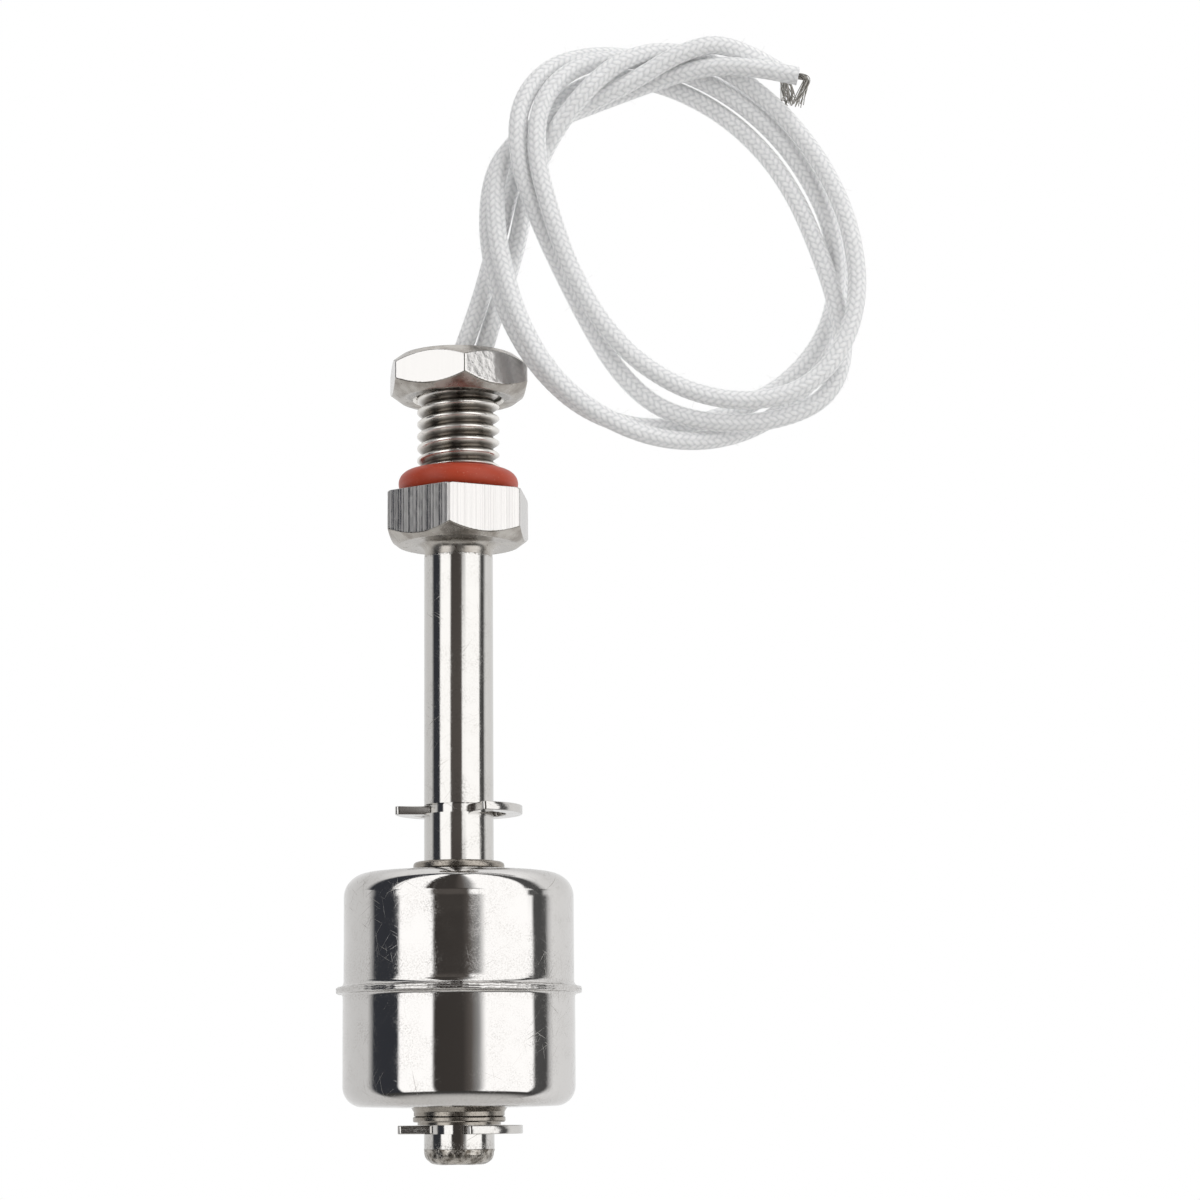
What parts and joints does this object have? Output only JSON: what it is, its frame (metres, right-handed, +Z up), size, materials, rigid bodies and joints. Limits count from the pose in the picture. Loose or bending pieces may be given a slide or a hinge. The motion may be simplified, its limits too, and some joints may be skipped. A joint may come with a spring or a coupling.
{
  "type": "float level switch",
  "caption": "Vertical stainless steel float level switch with a hex-flanged threaded fitting, jam nut, sliding cylinder float, retaining clips and braided lead wires.",
  "frame": {"origin": "centre of the hexagon flange's upper face, where the O-ring seals against the tank wall", "axes": "+Z runs up the thread towards the lead wires, the stem and float hang along -Z, -Y faces the viewer and +X is the viewer's right"},
  "size_m": [0.064, 0.0292, 0.1357],
  "materials": {
    "turned_stainless": "turned and milled stainless steel",
    "drawn_stainless": "drawn stainless tube, lightly polished",
    "pressed_stainless": "pressed stainless sheet, polished",
    "spring_stainless": "stamped spring steel, satin",
    "silicone_rubber": "satin red-brown silicone",
    "glass_fibre_braid": "white glass-fibre braid",
    "tinned_copper": "bare tinned copper strands",
    "ferrite": "matt sintered ferrite",
    "capsule_glass": "clear glass",
    "nickel_iron": "nickel-iron reed",
    "crimp_brass": "plain brass",
    "lead_insulation": "white insulation",
    "sleeve_plastic": "pale insulating sleeve",
    "potting_resin": "dark epoxy resin"
  },
  "bodies": {
    "switch_stem": {"threaded_fitting": "turned_stainless", "o_ring": "silicone_rubber", "stem_tube": "drawn_stainless", "end_plug": "drawn_stainless", "upper_clip": "spring_stainless", "lower_clip": "spring_stainless", "reed_glass": "capsule_glass", "upper_reed": "nickel_iron", "lower_reed": "nickel_iron", "upper_splice": "crimp_brass", "lower_splice": "crimp_brass", "inner_lead_a": "lead_insulation", "inner_lead_b": "lead_insulation", "insulating_tube": "sleeve_plastic", "potting_plug": "potting_resin", "lead_wire_a": "glass_fibre_braid", "lead_wire_b": "glass_fibre_braid", "bare_strands_a": "tinned_copper", "bare_strands_b": "tinned_copper"},
    "float": {"float_upper_shell": "pressed_stainless", "float_lower_shell": "pressed_stainless", "float_core_tube": "pressed_stainless", "magnet_ring": "ferrite"},
    "nut": {"jam_nut": "turned_stainless"}
  },
  "joints": [
    {"name": "float_slide", "type": "slide", "parent": "switch_stem", "child": "float", "axis": [0, 0, 1], "range_m": [0, 0.0056]},
    {"name": "nut_travel", "type": "slide", "parent": "switch_stem", "child": "nut", "axis": [0, 0, 1], "range_m": [-0.00885, 0]}
  ]
}
